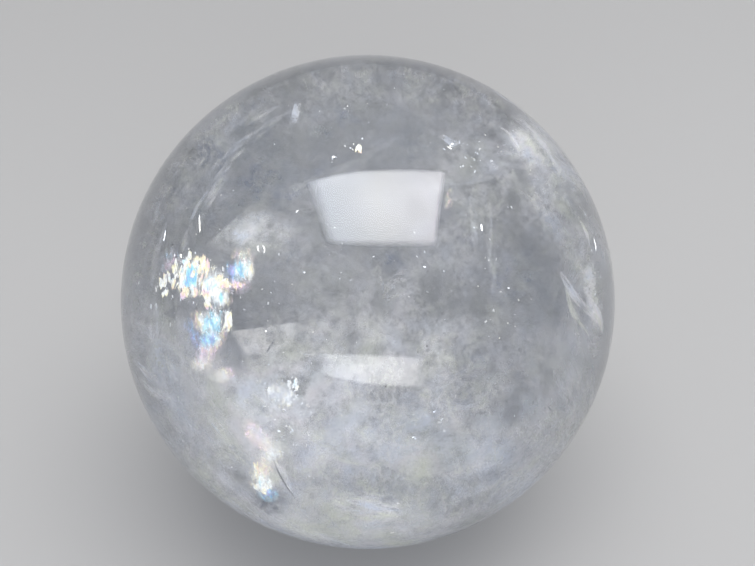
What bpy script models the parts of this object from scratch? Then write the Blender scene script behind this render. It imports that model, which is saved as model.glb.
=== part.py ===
"""A polished calcite sphere with the small flat spot that it rests on.

Run with: blender --background --python part.py
Units are metres, +Z is up, and the origin is the middle of the flat spot.
"""

import math

import bpy

# Driving dimensions
SPHERE_DIAMETER = 0.075
FLAT_DIAMETER = 0.010

# How finely the round surface is divided
MERIDIANS = 96
PARALLELS = 50

# Finish: cloudy white-grey stone with a mirror polish
CALCITE_COLOUR = (0.78, 0.81, 0.83, 1.0)
CALCITE_ROUGHNESS = 0.03
CALCITE_IOR = 1.6
CALCITE_TRANSMISSION = 0.6

# Worked out from the driving dimensions
SPHERE_RADIUS = SPHERE_DIAMETER / 2
FLAT_RADIUS = FLAT_DIAMETER / 2
CENTRE_HEIGHT = math.sqrt(SPHERE_RADIUS**2 - FLAT_RADIUS**2)


def clear_scene():
    """Removes whatever the opening scene holds."""
    for old in list(bpy.data.objects):
        bpy.data.objects.remove(old)


def new_collection(name):
    collection = bpy.data.collections.new(name)
    bpy.context.scene.collection.children.link(collection)
    return collection


def move_to(collection, obj):
    """Takes the object out of the collections it was made in and puts it in this one."""
    for holder in list(obj.users_collection):
        holder.objects.unlink(obj)
    collection.objects.link(obj)


def calcite_material():
    material = bpy.data.materials.new("calcite")
    material.use_nodes = True
    shader = material.node_tree.nodes["Principled BSDF"]
    shader.inputs["Base Color"].default_value = CALCITE_COLOUR
    shader.inputs["Metallic"].default_value = 0.0
    shader.inputs["Roughness"].default_value = CALCITE_ROUGHNESS
    shader.inputs["IOR"].default_value = CALCITE_IOR
    shader.inputs["Transmission Weight"].default_value = CALCITE_TRANSMISSION
    return material


def flat_spot_cutter(collection):
    """A block whose top face is the plane z = 0, wider and deeper than the cap it grinds off."""
    side = 4 * FLAT_RADIUS
    bpy.ops.mesh.primitive_cube_add(size=side, location=(0, 0, -side / 2))
    cutter = bpy.context.object
    cutter.name = "flat_spot_cutter"
    cutter.hide_render = True
    cutter.display_type = "WIRE"
    move_to(collection, cutter)
    return cutter


def calcite_sphere(collection, cutter):
    """The whole stone: one ball, with its lowest cap ground off flat."""
    bpy.ops.mesh.primitive_uv_sphere_add(
        segments=MERIDIANS,
        ring_count=PARALLELS,
        radius=SPHERE_RADIUS,
        location=(0, 0, CENTRE_HEIGHT),
    )
    sphere = bpy.context.object
    sphere.name = "calcite_sphere"
    sphere.data.name = "calcite_sphere"
    sphere.data.materials.append(calcite_material())
    sphere.data.shade_smooth()

    grind = sphere.modifiers.new("grind_flat_spot", "BOOLEAN")
    grind.operation = "DIFFERENCE"
    grind.solver = "EXACT"
    grind.object = cutter
    move_to(collection, sphere)
    return sphere


def main():
    clear_scene()
    cutters = new_collection("cutters")
    stone = new_collection("calcite_sphere")
    calcite_sphere(stone, flat_spot_cutter(cutters))


main()
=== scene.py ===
"""Dresses a polished calcite sphere: the glassy ball, and the veils, planes, cracks and glints inside it.

Laid out as a Blender add-on and run as a script. Lengths are in metres, +Z is up, the origin is the middle
of the flat spot that the stone rests on, and -Y faces the camera.
"""

import math
from typing import NamedTuple

import bpy
import numpy as np
from bpy.props import FloatProperty, FloatVectorProperty, IntProperty, PointerProperty
from mathutils import Matrix, Vector


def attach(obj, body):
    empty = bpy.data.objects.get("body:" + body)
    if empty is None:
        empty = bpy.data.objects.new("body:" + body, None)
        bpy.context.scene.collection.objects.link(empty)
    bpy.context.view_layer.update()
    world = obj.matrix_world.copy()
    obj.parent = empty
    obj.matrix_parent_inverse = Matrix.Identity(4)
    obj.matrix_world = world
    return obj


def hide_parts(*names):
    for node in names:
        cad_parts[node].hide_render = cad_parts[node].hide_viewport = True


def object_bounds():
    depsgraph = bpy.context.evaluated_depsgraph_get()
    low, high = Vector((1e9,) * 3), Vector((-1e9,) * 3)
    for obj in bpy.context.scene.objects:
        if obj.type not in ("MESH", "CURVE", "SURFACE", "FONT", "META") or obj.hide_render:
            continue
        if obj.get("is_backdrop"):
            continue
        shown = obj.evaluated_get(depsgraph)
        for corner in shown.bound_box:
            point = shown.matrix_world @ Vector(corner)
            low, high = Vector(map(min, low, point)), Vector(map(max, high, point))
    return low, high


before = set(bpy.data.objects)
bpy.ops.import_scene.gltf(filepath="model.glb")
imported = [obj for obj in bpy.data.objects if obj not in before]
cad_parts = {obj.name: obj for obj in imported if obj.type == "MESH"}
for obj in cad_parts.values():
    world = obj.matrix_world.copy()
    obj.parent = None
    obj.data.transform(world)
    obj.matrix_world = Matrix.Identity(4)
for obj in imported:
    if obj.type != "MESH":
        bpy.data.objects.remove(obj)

bl_info = {
    "name": "Polished calcite sphere",
    "version": (1, 0, 0),
    "blender": (4, 5, 0),
    "location": "View3D > Sidebar > Stone",
    "description": "Builds the polish, veils, cracks and glints of a calcite sphere, and a studio round it",
    "category": "Mesh",
}

CAD_NODE = "calcite_sphere"
BODY = "root"

# The ball, read from the frame
CAD_LOW, CAD_HIGH = (np.array(corner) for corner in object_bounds())
BALL_RADIUS = float(CAD_HIGH[0] - CAD_LOW[0]) / 2
CENTRE_HEIGHT = float(CAD_HIGH[2]) - BALL_RADIUS
CENTRE = np.array((0.0, 0.0, CENTRE_HEIGHT))
STONE_IOR = 1.6

# How far from the ball's centre the pieces inside it may reach
INNER_REACH = 0.965 * BALL_RADIUS

# The camera, for a picture of this many pixels in which the ball's outline is a circle
PICTURE_WIDTH = 755
PICTURE_HEIGHT = 566
BALL_CENTRE_PX = (368.0, 301.5)
BALL_RADIUS_PX = 247.2
METRES_PER_PX = BALL_RADIUS / BALL_RADIUS_PX
LENS = 70.0
SENSOR = 36.0
FOCAL_PX = LENS / SENSOR * PICTURE_WIDTH
CAMERA_RISE = math.radians(42)
CAMERA_WAY = np.array((0, -math.cos(CAMERA_RISE), math.sin(CAMERA_RISE)))
CAMERA_REACH = BALL_RADIUS / math.sin(math.atan(BALL_RADIUS_PX / FOCAL_PX))
CAMERA_PLACE = CENTRE + CAMERA_REACH * CAMERA_WAY
NEAREST_SEEN = 0.01

# Soft lights, as corner directions from the floor under the ball, times their height
LAMP_HEIGHT = 0.6
KEY_CORNERS = ((-0.435, 0.152, 1.0), (0.6, 0.38, 1.0), (0.584, -0.347, 1.0), (-0.312, -0.417, 1.0))
FRONT_CORNERS = (
    (-0.764, -1.778, 0.904),
    (0.846, -1.756, 0.852),
    (0.792, -1.836, 0.434),
    (-0.610, -1.894, 0.604),
)

# The middle of the overhead lamp, which the cracks and flakes mirror
LAMP_MIDDLE = np.array(KEY_CORNERS).mean(0) * LAMP_HEIGHT

# How often, and how much, a direction is corrected until its bent way out leads to the lamp
AIM_STEPS = 24
AIM_EASE = 0.4

GOLDEN_TURN = math.pi * (3 - math.sqrt(5))
TINY = 1e-9
VEIL_SEED, WISP_SEED, PLANE_SEED, RAINBOW_SEED, GLINT_SEED, POCKET_SEED = range(4, 10)


# Vectors


def unit(vectors):
    """Each vector divided by its length."""
    vectors = np.asarray(vectors, float)
    return vectors / np.linalg.norm(vectors, axis=-1, keepdims=True)


def dot(a, b):
    """Sum of the products of the coordinates, kept as a last axis of one."""
    return (a * b).sum(-1, keepdims=True)


def flat(x, y):
    """Points on the plane z = 0."""
    return np.stack((x, y, 0 * x), -1)


def turned(pixels, angles):
    """Picture points turned about the picture's corner: (x cos - y sin, x sin + y cos)."""
    x, y = pixels[..., 0], pixels[..., 1]
    return np.stack((x * np.cos(angles) - y * np.sin(angles), x * np.sin(angles) + y * np.cos(angles)), -1)


def tilted(normals, degrees, rng):
    """Each direction leaned to a random side: it plus tan(degrees) times a normally drawn vector."""
    return unit(normals + np.tan(np.radians(degrees)) * rng.normal(size=normals.shape))


def side_axes(normals, hint):
    """Two directions square to each normal and to each other: normal x hint, and normal x that."""
    across = unit(np.cross(normals, hint))
    return across, np.cross(normals, across)


def spiral_directions(heights, first_turn=0.0):
    """Directions at these heights, each turned on from the last by the golden angle."""
    turn = GOLDEN_TURN * np.arange(len(heights)) + first_turn
    level = np.sqrt(1 - heights**2)
    return np.stack((np.cos(turn) * level, np.sin(turn) * level, heights), -1)[:, None, None]


# Sight lines through the ball


def from_lens(pixels):
    """The ways from the camera to these picture points, along its own axes and with a depth of one."""
    pixels = np.asarray(pixels, float)
    across = (pixels[..., 0] - PICTURE_WIDTH / 2) / FOCAL_PX
    up = (PICTURE_HEIGHT / 2 - pixels[..., 1]) / FOCAL_PX
    return np.stack((across, up, -np.ones_like(across)), -1)


def camera_turn():
    """The camera's axes as a matrix: it looks down at the ball, and then swings until the ball's centre
    falls on its place in the picture.
    """
    level = Vector(-CAMERA_WAY).to_track_quat("-Z", "Y").to_matrix()
    aim = Vector(from_lens(BALL_CENTRE_PX)).normalized()
    return np.array(level @ aim.rotation_difference(Vector((0, 0, -1))).to_matrix())


CAMERA_TURN = camera_turn()


def sight_lines(pixels):
    """Where the sight lines through these picture points enter the ball, how they run inside, and how
    far.

    The direction inside is d / n + (cos_in / n - cos_out) * normal, by the law of refraction, and the
    run to the far side is 2 * radius * cos_out.
    """
    towards = unit(from_lens(pixels) @ CAMERA_TURN.T)
    from_centre = CAMERA_PLACE - CENTRE
    along = dot(towards, from_centre)
    root = np.sqrt(np.maximum(along**2 - from_centre @ from_centre + BALL_RADIUS**2, 0))
    entry = CAMERA_PLACE - towards * (along + root)
    normal = (entry - CENTRE) / BALL_RADIUS
    cos_in = -dot(towards, normal)
    cos_out = np.sqrt(1 - (1 - cos_in**2) / STONE_IOR**2)
    bent = towards / STONE_IOR + (cos_in / STONE_IOR - cos_out) * normal
    return entry, bent, 2 * BALL_RADIUS * cos_out


def seen_at(pixels, share):
    """The points seen at these picture points, a share of the way through the ball."""
    entry, bent, run = sight_lines(pixels)
    return entry + bent * run * np.asarray(share, float)[..., None]


def mirrored_at(pixels, distance):
    """The points that the polish mirrors at these picture points, this far from the ball: d - 2 (d . n)
    n.
    """
    entry, _, _ = sight_lines(pixels)
    towards = unit(entry - CAMERA_PLACE)
    normal = (entry - CENTRE) / BALL_RADIUS
    return entry + distance * (towards - 2 * dot(towards, normal) * normal)


def aim_out(places):
    """The directions inside the ball that lead from these places, through its surface, to the lamp's
    middle.

    Starts straight at the lamp, and turns each direction by what the bent way out misses it by, step by
    step.
    """
    aim = unit(LAMP_MIDDLE - places)
    for _ in range(AIM_STEPS):
        from_centre = places - CENTRE
        along = dot(aim, from_centre)
        length = -along + np.sqrt(along**2 - dot(from_centre, from_centre) + BALL_RADIUS**2)
        leaving = places + aim * length
        normal = (leaving - CENTRE) / BALL_RADIUS
        cos_in = dot(aim, normal)
        cos_out = np.sqrt(np.maximum(1 - STONE_IOR**2 * (1 - cos_in**2), 0))
        outside = STONE_IOR * aim + (cos_out - STONE_IOR * cos_in) * normal
        aim = unit(aim + AIM_EASE * (unit(LAMP_MIDDLE - leaving) - unit(outside)))
    return aim


def lamp_facing(pixels, shares):
    """Where these picture points lie at their shares of the way through, and how a face there must lie
    to mirror the lamp to the camera: along the sum of the way out and the way back to the eye.
    """
    _, bent, _ = sight_lines(pixels)
    places = seen_at(pixels, shares)
    return places, unit(aim_out(places) - bent)


def on_plane(pixels, place, normal):
    """Where the sight lines through these picture points meet the plane through place that faces along
    normal.
    """
    entry, bent, _ = sight_lines(pixels)
    return entry + bent * dot(place - entry, normal) / dot(bent, normal)


def off_sight_line(points, pixel):
    """How far each point lies from the bent sight line through one picture point."""
    entry, bent, _ = sight_lines(pixel)
    away = points - entry
    return np.linalg.norm(away - dot(away, bent) * bent, axis=-1)


def kept_inside(points):
    """Points past the inner reach are drawn back to it, towards the ball's centre."""
    away = points - CENTRE
    length = np.linalg.norm(away, axis=-1, keepdims=True)
    return CENTRE + away * np.minimum(1, INNER_REACH / np.maximum(length, TINY))


# Grids and curves that the shapes share


def smooth_step(value):
    """3 value^2 - 2 value^3, for a value held between 0 and 1."""
    value = np.clip(value, 0, 1)
    return value * value * (3 - 2 * value)


def ripple(x, y, paces, starts):
    """sin(pace x + start) * cos(pace y + start), each wave with its own pace and start."""
    return np.sin(paces[0] * x + starts[0]) * np.cos(paces[1] * y + starts[1])


def square_to_disc(side):
    """A grid of side by side points spread over a disc of radius 1, and each point's distance from its
    middle.

    x = u * sqrt(1 - v*v / 2) and y = v * sqrt(1 - u*u / 2), for u and v from -1 to 1.
    """
    line = np.linspace(-1, 1, side)
    u, v = np.meshgrid(line, line, indexing="ij")
    x = u * np.sqrt(1 - v * v / 2)
    y = v * np.sqrt(1 - u * u / 2)
    return x, y, np.hypot(x, y)


def four_cornered(side):
    """A grid of u and v from 0 to 1, and its corners' weights (1-u)(1-v), u(1-v), uv and (1-u)v."""
    line = np.linspace(0, 1, side)
    u, v = np.meshgrid(line, line, indexing="ij")
    return u, v, np.stack(((1 - u) * (1 - v), u * (1 - v), u * v, (1 - u) * v))


def soft_sides(u, v, fades):
    """The product of four smooth steps, each from 0 at its side to 1 at that side's fade: top, right,
    bottom, left.
    """
    return np.prod(smooth_step(np.stack((v, 1 - u, 1 - v, u)) / np.array(fades)[..., None, None]), -3)


def column(rows, field):
    """One field of every row, a sheet to a row."""
    return np.array([getattr(row, field) for row in rows], float)[:, None, None]


def drawn(rng, limits, count):
    """One random number between the limits for each of count sheets."""
    return rng.uniform(*limits, (count, 1, 1))


def wave_starts(rng, waves, count):
    """Where in its turn each of count sheets starts each of its waves."""
    return rng.uniform(0, 2 * math.pi, (waves, count, 1, 1))


def own_grain(places, count, rng):
    """The places that each of count sheets reads its noise at, moved to a part of the noise of its own."""
    return places + rng.uniform(0, 3, (count, 1, 1, 3))


def grid_faces(rows, columns, count=1):
    """The four-cornered faces of count grids of rows by columns points, one grid after the other."""
    corner = np.arange(rows * columns).reshape(rows, columns)
    one = np.stack((corner[:-1, :-1], corner[1:, :-1], corner[1:, 1:], corner[:-1, 1:]), -1)
    return (one.reshape(1, -1, 4) + (np.arange(count) * rows * columns).reshape(-1, 1, 1)).reshape(-1, 4)


def round_directions(meridians, parallels):
    """Directions to the top and the bottom of a ball, and to rings between them: (sin a cos t, sin a sin
    t, cos a), for angles a from the top and turns t.
    """
    angles = np.linspace(0, math.pi, parallels + 2)[1:-1]
    angle, turn = np.meshgrid(angles, np.arange(meridians) * 2 * math.pi / meridians, indexing="ij")
    rings = np.stack((np.sin(angle) * np.cos(turn), np.sin(angle) * np.sin(turn), np.cos(angle)), -1)
    return np.concatenate((((0, 0, 1), (0, 0, -1)), rings.reshape(-1, 3)))


def round_faces(meridians, parallels, count=1):
    """The faces of count balls with a top, a bottom and rings between them, one ball after the other."""
    ring = np.arange(parallels * meridians).reshape(parallels, meridians) + 2
    after = np.roll(ring, -1, 1)
    sides = np.stack((ring[:-1], ring[1:], after[1:], after[:-1]), -1).reshape(-1, 4)
    top = np.stack((np.zeros(meridians, int), ring[0], after[0]), -1)
    bottom = np.stack((np.ones(meridians, int), after[-1], ring[-1]), -1)
    firsts = np.arange(count) * (parallels * meridians + 2)
    return [face for first in firsts for part in (sides, top, bottom) for face in (part + first).tolist()]


# Objects


def add_object(name, data):
    """An object with this data, linked into the scene."""
    made = bpy.data.objects.new(name, data)
    bpy.context.scene.collection.objects.link(made)
    return made


def mesh_object(name, points, faces, material, attributes=None):
    """A mesh object at the origin, with its place in its points. An attribute has one or three numbers a
    point.
    """
    points = np.asarray(points).reshape(-1, 3)
    mesh = bpy.data.meshes.new(name)
    mesh.from_pydata(points.tolist(), [], faces)
    for label, values in (attributes or {}).items():
        vector = values.size == points.size
        layer = mesh.attributes.new(label, "FLOAT_VECTOR" if vector else "FLOAT", "POINT")
        layer.data.foreach_set("vector" if vector else "value", values.astype(np.float32).ravel())
    mesh.materials.append(material)
    return add_object(name, mesh)


def new_piece(name, points, faces, material, attributes=None, smooth=True, shadow=False):
    """A piece that rides on the stone. Only the polish casts a shadow, so the stone stays bright inside."""
    piece = mesh_object(name, points, faces, material, attributes)
    if smooth:
        piece.data.shade_smooth()
    piece.visible_shadow = shadow
    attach(piece, BODY)
    return piece


def sheets_piece(name, material, points, attributes):
    """One piece of many sheets, each a grid of points."""
    count, rows, columns, _ = points.shape
    return new_piece(name, points, grid_faces(rows, columns, count).tolist(), material, attributes)


# Materials


class Nodes:
    """The nodes of a material or a world. Each function adds a node and gives one of its outputs."""

    def __init__(self, owner):
        owner.use_nodes = True
        self.owner = owner
        self.tree = owner.node_tree

    def add(self, kind, inputs=None, output=0, **settings):
        """An input's value is a number or colour, or the output that feeds it."""
        node = self.tree.nodes.new("ShaderNode" + kind)
        for name, value in settings.items():
            setattr(node, name, value)
        for name, value in (inputs or {}).items():
            if isinstance(value, bpy.types.NodeSocket):
                self.tree.links.new(value, node.inputs[name])
            else:
                node.inputs[name].default_value = value
        return node.outputs[output]

    def place(self):
        return self.add("TexCoord", output="Object")

    def attribute(self, name, output="Fac"):
        return self.add("Attribute", output=output, attribute_name=name)

    def maths(self, operation, *values):
        return self.add("Math", dict(enumerate(values)), operation=operation)

    def mix(self, weight, first, second):
        return self.add("MixShader", {0: weight, 1: first, 2: second})

    def noise(self, where, scale, detail, roughness=0.6, distortion=0.0):
        inputs = {"Scale": scale, "Detail": detail, "Roughness": roughness, "Distortion": distortion}
        return self.add("TexNoise", {"Vector": where, **inputs})

    def between(self, value, limits, results):
        """A smooth step over the limits, from the first result to the second."""
        names = ("From Min", "From Max", "To Min", "To Max")
        inputs = {"Value": value, **dict(zip(names, (*limits, *results)))}
        return self.add("MapRange", inputs, interpolation_type="SMOOTHSTEP")

    def ramp(self, factor, stops):
        """A colour ramp through stops of a place and a colour."""
        colour = self.add("ValToRGB", {"Fac": factor})
        elements = colour.node.color_ramp.elements
        while len(elements) < len(stops):
            elements.new(0.5)
        for element, (place, tint) in zip(elements, stops):
            element.position = place
            element.color = (*tint, 1)
        return colour

    def material(self, surface, volume=None):
        """The material, with this shader on its surface, and this one in its volume."""
        output = self.tree.nodes["Material Output"]
        self.tree.links.new(surface, output.inputs["Surface"])
        if volume:
            self.tree.links.new(volume, output.inputs["Volume"])
        return self.owner


def material_nodes(name):
    """The nodes of a new material, with nothing but its output."""
    nodes = Nodes(bpy.data.materials.new(name))
    nodes.tree.nodes.remove(nodes.tree.nodes["Principled BSDF"])
    return nodes


def polished_material(settings):
    """Clear stone under a mirror polish. Light on its way to a lamp passes straight, as through thin
    stone.
    """
    nodes = material_nodes("polished_calcite")
    where = nodes.place()
    film = nodes.noise(where, scale=90.0, detail=4.0)
    stretched = nodes.add("Mapping", {"Vector": where, "Scale": (1100.0, 45.0, 45.0)})
    scratches = nodes.noise(stretched, scale=1.0, detail=2.0)
    stone = {
        "Base Color": (*settings.stone_colour, 1.0),
        "Roughness": nodes.between(film, limits=(0.3, 0.75), results=(0.015, 0.045)),
        "IOR": STONE_IOR,
        "Transmission Weight": 1.0 - settings.milkiness,
        "Normal": nodes.add("Bump", {"Height": scratches, "Strength": 0.06, "Distance": 0.00002}),
    }
    depth = {"Color": (*settings.depth_colour, 1.0), "Density": settings.depth_density}
    passing = nodes.add("BsdfTransparent", {"Color": (0.99, 0.99, 1.0, 1)})
    to_lamp = nodes.add("LightPath", output="Is Shadow Ray")
    polish = nodes.mix(to_lamp, nodes.add("BsdfPrincipled", stone), passing)
    return nodes.material(polish, nodes.add("VolumeAbsorption", depth))


def veil_material(name, colours, patches, grains, openness, density):
    """A milky veil in the stone: broad noise opens it in patches, fine noise grains the patches, and its
    fade attribute thins it. It stops 1 - 0.3 ^ (density * patch * grain * fade) of the light, so it
    never goes flat.
    """
    nodes = material_nodes(name)
    where = nodes.attribute("grain", "Vector")
    patch = nodes.between(nodes.noise(where, patches, detail=2.0), openness, (0.0, density))
    fine = nodes.between(nodes.noise(where, grains, detail=3.0, roughness=0.65), (0.32, 0.68), (0.1, 1.3))
    tint = nodes.ramp(nodes.noise(where, 1.7 * patches, detail=1.0), colours)
    halves = (nodes.add(kind, {"Color": tint}) for kind in ("BsdfDiffuse", "BsdfTranslucent"))
    milk = nodes.mix(0.5, *halves)
    dense = nodes.maths("MULTIPLY", nodes.maths("MULTIPLY", patch, fine), nodes.attribute("fade"))
    clear_share = nodes.maths("POWER", 0.3, dense)
    return nodes.material(nodes.mix(clear_share, milk, nodes.add("BsdfTransparent")))


SPECTRUM = (
    (0.0, (0.42, 0.42, 0.85)),
    (0.14, (0.24, 0.55, 0.95)),
    (0.26, (0.42, 0.85, 0.98)),
    (0.38, (0.92, 0.97, 0.97)),
    (0.52, (0.98, 0.97, 0.92)),
    (0.59, (0.97, 0.94, 0.60)),
    (0.68, (0.99, 0.76, 0.60)),
    (0.80, (0.92, 0.66, 0.86)),
    (0.90, (0.90, 0.92, 0.98)),
    (1.0, (0.55, 0.75, 0.95)),
)


def rainbow_material(name, crisp):
    """A crack thin enough to split light: the colours run in order from its middle, stirred by noise. It
    shows where its fade plus noise is high, with a jagged edge where it is crisp and a slow one where it
    is soft.
    """
    nodes = material_nodes(name)
    upright = nodes.add("Mapping", {"Vector": nodes.place(), "Scale": (1.0, 0.4, 0.4)})
    stirring = nodes.noise(upright, scale=1800.0, detail=3.0, distortion=0.4)
    stirred = nodes.between(stirring, limits=(0.25, 0.75), results=(-0.16, 0.16))
    colour = nodes.ramp(nodes.maths("ADD", nodes.attribute("order"), stirred), SPECTRUM)
    film = {"Base Color": colour, "Specular Tint": colour, "Roughness": 0.12, "IOR": 2.0}
    jagged = nodes.noise(upright, scale=2300.0, detail=4.0, roughness=0.65)
    edge = nodes.maths("MULTIPLY_ADD", jagged, 1.9, nodes.attribute("fade"))
    limits, results = ((1.2, 1.5), (0.0, 0.95)) if crisp else ((0.85, 2.1), (0.0, 0.85))
    shown = nodes.between(edge, limits, results)
    return nodes.material(nodes.mix(shown, nodes.add("BsdfTransparent"), nodes.add("BsdfPrincipled", film)))


def glint_material():
    """A flake's bare cleavage face, with a little unevenness."""
    nodes = material_nodes("cleavage_glint")
    where = nodes.place()
    tints = ((0.35, (0.85, 0.92, 1.0)), (0.5, (0.97, 0.97, 0.97)), (0.65, (1.0, 0.96, 0.82)))
    rough = nodes.noise(where, scale=600.0, detail=2.0)
    face = {
        "Base Color": nodes.ramp(nodes.noise(where, scale=160.0, detail=2.0), tints),
        "Roughness": nodes.between(rough, limits=(0.3, 0.7), results=(0.1, 0.3)),
        "Metallic": 0.4,
        "IOR": 1.9,
    }
    return nodes.material(nodes.add("BsdfPrincipled", face))


def dark_material():
    """A crack seen edge on, where it turns the light away."""
    nodes = material_nodes("dark_crack")
    broken = nodes.noise(nodes.attribute("grain", "Vector"), scale=900.0, detail=3.0)
    colour = nodes.ramp(broken, ((0.3, (0.10, 0.11, 0.13)), (0.7, (0.22, 0.23, 0.25))))
    weight = nodes.between(broken, limits=(0.25, 0.5), results=(0.35, 0.85))
    weight = nodes.maths("MULTIPLY", weight, nodes.attribute("fade"))
    return nodes.material(
        nodes.mix(weight, nodes.add("BsdfTransparent"), nodes.add("BsdfDiffuse", {"Color": colour}))
    )


def bubble_material():
    """A pocket of gas: light bends the other way at its wall."""
    nodes = material_nodes("gas_bubble")
    rough = nodes.noise(nodes.place(), scale=700.0, detail=2.0)
    gas = {
        "Base Color": (1, 1, 1, 1),
        "Roughness": nodes.between(rough, limits=(0.3, 0.7), results=(0.0, 0.05)),
        "IOR": 1 / STONE_IOR,
        "Transmission Weight": 1.0,
    }
    return nodes.material(nodes.add("BsdfPrincipled", gas))


def pit_material():
    """A pinhole in the polish that holds a little grime."""
    nodes = material_nodes("polish_pit")
    grime = nodes.noise(nodes.place(), scale=2500.0, detail=2.0)
    colour = nodes.ramp(grime, ((0.3, (0.03, 0.03, 0.035)), (0.7, (0.12, 0.12, 0.13))))
    return nodes.material(nodes.add("BsdfPrincipled", {"Base Color": colour, "Roughness": 0.8}))


MILK_COLOURS = (
    (0.32, (0.80, 0.86, 0.99)),
    (0.44, (0.88, 0.90, 0.95)),
    (0.50, (0.93, 0.90, 0.93)),
    (0.56, (0.91, 0.91, 0.90)),
    (0.67, (0.92, 0.94, 0.80)),
)
HAZE_COLOURS = ((0.34, (0.84, 0.87, 0.94)), (0.50, (0.92, 0.90, 0.89)), (0.64, (0.92, 0.93, 0.82)))
SMOOTH_COLOURS = ((0.3, (0.91, 0.87, 0.85)), (0.7, (0.90, 0.91, 0.90)))
# Dark colours of the painted shade patches, which darken the stone where it should look darker
SHADE_COLOURS = ((0.35, (0.10, 0.13, 0.20)), (0.65, (0.20, 0.22, 0.24)))


# What the stone shows, at its picture points, each at its share of the way through the ball


class Zone(NamedTuple):
    """A column along a sight line where the stone is milkier, or clearer below zero."""

    pixel: tuple
    radius_px: float
    amount: float


class Sheet(NamedTuple):
    """A sheet that fills the outline of four picture points. Each side fades over its own part of the
    sheet.
    """

    corners: tuple
    shares: tuple
    fades: tuple
    strength: float


class Streak(NamedTuple):
    """A narrow sheet along a bow from one picture point to another."""

    start: tuple
    end: tuple
    bow_px: float
    width_px: float
    share: float
    strength: float


class Crack(NamedTuple):
    """A round crack that mirrors the lamp. Its colour starts at one part of the spectrum in the middle,
    and moves along it by spread towards the rim and by slope from left to right.
    """

    pixel: tuple
    radii_px: tuple
    turn: float
    share: float
    start: float
    spread: float
    slope: float = 0.0
    strength: float = 1.0


class Swarm(NamedTuple):
    """Small flakes scattered round a picture point."""

    pixel: tuple
    spread_px: tuple
    count: int
    size_px: float
    stray: float
    spin: float = 3.1


def listed(kind, *values):
    """Each group of values as one of this kind."""
    return [kind(*each) for each in values]


ZONES = listed(
    Zone,
    ((225, 155), 88, -1.1), ((345, 115), 54, -0.7), ((430, 120), 50, -0.35), ((520, 200), 80, -0.1),
    ((280, 245), 45, -0.8), ((345, 285), 50, -0.1), ((515, 280), 46, -0.85), ((385, 275), 50, -0.3),
    ((560, 375), 50, -0.4), ((390, 500), 18, -0.5), ((265, 500), 14, -1.3), ((238, 474), 9, -0.9),
    ((190, 270), 30, -0.4), ((350, 62), 24, -0.5), ((368, 538), 60, 1.1), ((390, 450), 60, 0.4),
    ((535, 175), 28, 0.3), ((160, 320), 26, 0.3), ((464, 496), 40, 1.1), ((212, 425), 50, -0.25),
    ((340, 520), 40, 0.7), ((595, 330), 25, 0.5),
)

# Painted shade: dark sheets near the front of the ball, each round its picture point, that darken the stone
# there. They reuse Zone, and a patch's amount says how dense its painted shade is
SHADES = listed(
    Zone,
    ((515, 280), 36, 2.2), ((212, 148), 48, 1.5), ((262, 112), 38, 1.5), ((178, 196), 34, 1.0),
    ((290, 200), 36, 1.4), ((310, 168), 28, 0.8), ((470, 240), 30, 0.7), ((420, 150), 30, 0.6),
    ((268, 502), 20, 2.0), ((240, 472), 10, 1.4), ((350, 118), 24, 1.5), ((322, 131), 18, 1.3),
    ((390, 262), 36, 1.0), ((286, 254), 22, 1.2), ((204, 214), 24, 1.2), ((250, 185), 62, 1.7),
    ((394, 498), 18, 0.8), ((540, 366), 34, 1.0), ((176, 265), 22, 0.5), ((246, 322), 14, 0.7),
    ((405, 140), 26, 0.5), ((560, 300), 30, 0.6),
)

SHADE_SHARE = 0.12

# Clearer and milkier pockets in the half that faces away from the camera
POCKET_COUNT = 16
POCKET_DEPTHS = (0.6, 0.9)
POCKET_RADII = (0.006, 0.012)
POCKET_AMOUNTS = (-1.3, 0.5)

PLANES = listed(
    Sheet,
    (((215, 228), (262, 202), (345, 240), (250, 285)), (0.11, 0.11, 0.2, 0.16), (0.2, 0.4, 0.6, 0.2), 0.45),
    (((228, 236), (246, 212), (262, 232), (244, 250)), (0.09, 0.09, 0.13, 0.13), (0.3, 0.5, 0.4, 0.3), 0.8),
    (((437, 136), (443, 133), (464, 143), (453, 149)), (0.08, 0.08, 0.10, 0.10), (0.2, 0.3, 0.2, 0.2), 0.6),
    (((295, 100), (302, 101), (297, 125), (288, 127)), (0.10, 0.10, 0.13, 0.13), (0.2, 0.1, 0.3, 0.1), 1.1),
    (((500, 126), (522, 122), (552, 165), (530, 176)), (0.05, 0.05, 0.08, 0.09), (0.3, 0.4, 0.4, 0.2), 1.1),
    (((575, 262), (592, 258), (606, 330), (594, 338)), (0.08, 0.07, 0.07, 0.08), (0.3, 0.3, 0.3, 0.3), 1.1),
    (((240, 410), (282, 420), (292, 500), (250, 486)), (0.08, 0.08, 0.10, 0.10), (0.4, 0.4, 0.3, 0.3), 1.2),
    (((190, 375), (300, 365), (330, 460), (195, 450)), (0.10, 0.12, 0.14, 0.10), (0.5, 0.5, 0.5, 0.5), 0.4),
    (((330, 400), (430, 400), (450, 490), (320, 500)), (0.12, 0.12, 0.14, 0.12), (0.5, 0.5, 0.5, 0.5), 0.5),
)

SMOOTH_PLANES = listed(
    Sheet,
    (((201, 248), (254, 200), (330, 222), (262, 270)), (0.1, 0.1, 0.16, 0.14), (0.03, 0.3, 0.65, 0.25),
     0.55),
    (((229, 331), (308, 320), (292, 351), (246, 358)), (0.07, 0.1, 0.08, 0.07), (0.06, 0.3, 0.3, 0.1), 0.8),
)

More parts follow.
